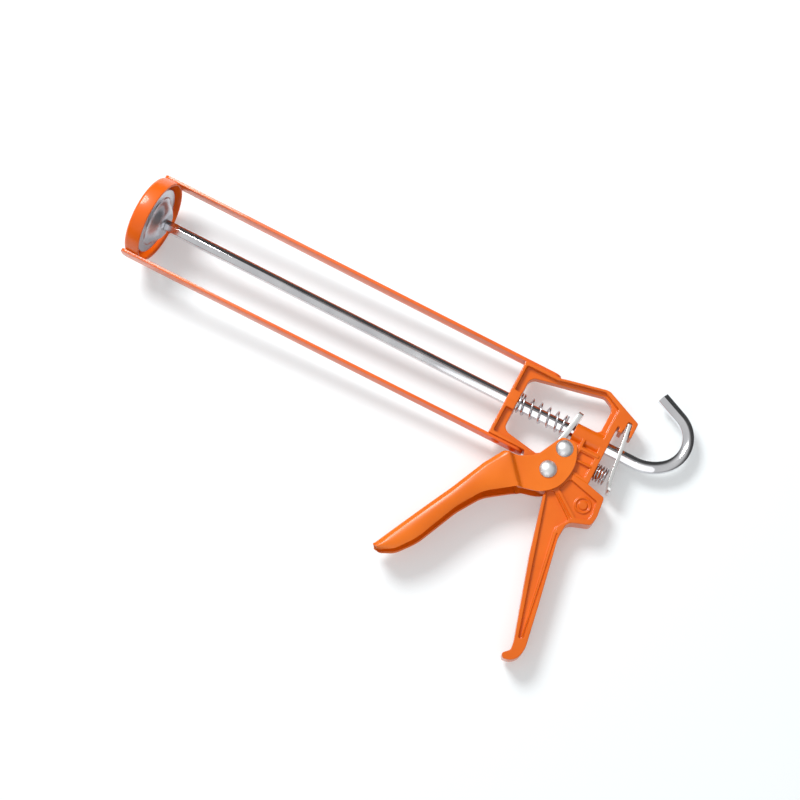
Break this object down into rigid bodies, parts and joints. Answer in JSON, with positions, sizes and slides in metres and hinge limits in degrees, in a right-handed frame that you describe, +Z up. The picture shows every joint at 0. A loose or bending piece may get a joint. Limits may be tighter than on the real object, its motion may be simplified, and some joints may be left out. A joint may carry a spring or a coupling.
{
  "type": "caulking gun",
  "caption": "Hand-operated open-frame gun that presses sealant from a cartridge held between two straps.",
  "frame": {"origin": "centre of the nozzle opening, in the front face of the ring", "axes": "the gun lies on its right side: +X runs from the ring towards the hook at the rear, +Y from the bottom strap to the top strap, away from the grip, and +Z upwards out of the gun's left side; the rod slopes down towards the rear by 2.82 degrees from +X, because the gun rests on the ring's rear edge and the trigger's far side"},
  "size_m": [0.3565, 0.1822, 0.0523],
  "materials": {
    "orange_casting": "gloss orange powder coat over die-cast aluminium",
    "orange_steel": "gloss orange powder coat over sheet steel",
    "bright_rod": "polished plating",
    "plunger_chrome": "polished plating",
    "zinc_plate": "satin zinc plating",
    "spring_wire": "satin spring wire",
    "pin_steel": "satin steel",
    "cap_chrome": "polished plating"
  },
  "bodies": {
    "frame": {"front_ring": "orange_steel", "top_strap": "orange_steel", "bottom_strap": "orange_steel", "top_strap_rivets": "orange_steel", "bottom_strap_rivets": "orange_steel", "body_casting": "orange_casting", "pivot_pin": "pin_steel", "pivot_caps": "cap_chrome", "drive_spring": "spring_wire", "release_spring": "spring_wire"},
    "rod": {"push_rod": "bright_rod", "rod_hook": "bright_rod", "plunger_disc": "plunger_chrome", "plunger_washer": "bright_rod", "plunger_nut": "bright_rod"},
    "trigger": {"trigger": "orange_steel", "pusher_pin": "pin_steel", "pusher_caps": "cap_chrome", "pusher_roller": "pin_steel"},
    "drive_plate": {"drive_plate": "zinc_plate"},
    "release_plate": {"release_plate": "zinc_plate"}
  },
  "joints": [
    {"name": "rod_slide", "type": "slide", "parent": "frame", "child": "rod", "axis": [0.9988, 0, -0.0491], "range_m": [0, 0.215]},
    {"name": "trigger_pivot", "type": "hinge", "parent": "frame", "child": "trigger", "pos_m": [0.28635, -0.0284, -0.01409], "axis": [0.0491, 0, 0.9988], "range_deg": [0, 35], "stiffness_Nm_per_rad": 0.6, "springref_deg": -17.19},
    {"name": "drive_slide", "type": "slide", "parent": "frame", "child": "drive_plate", "axis": [-0.9988, 0, 0.0491], "range_m": [0, 0.0094], "deforming": ["drive_spring"]},
    {"name": "release_pivot", "type": "hinge", "parent": "frame", "child": "release_plate", "pos_m": [0.31622, 0.018, -0.01556], "axis": [0.0491, 0, 0.9988], "range_deg": [-4, 0], "stiffness_Nm_per_rad": 0.5, "springref_deg": 11.46, "deforming": ["release_spring"]}
  ],
  "couplings": [
    {"joint": "drive_slide", "follows": "trigger_pivot", "m_per_rad": 0.0153}
  ]
}
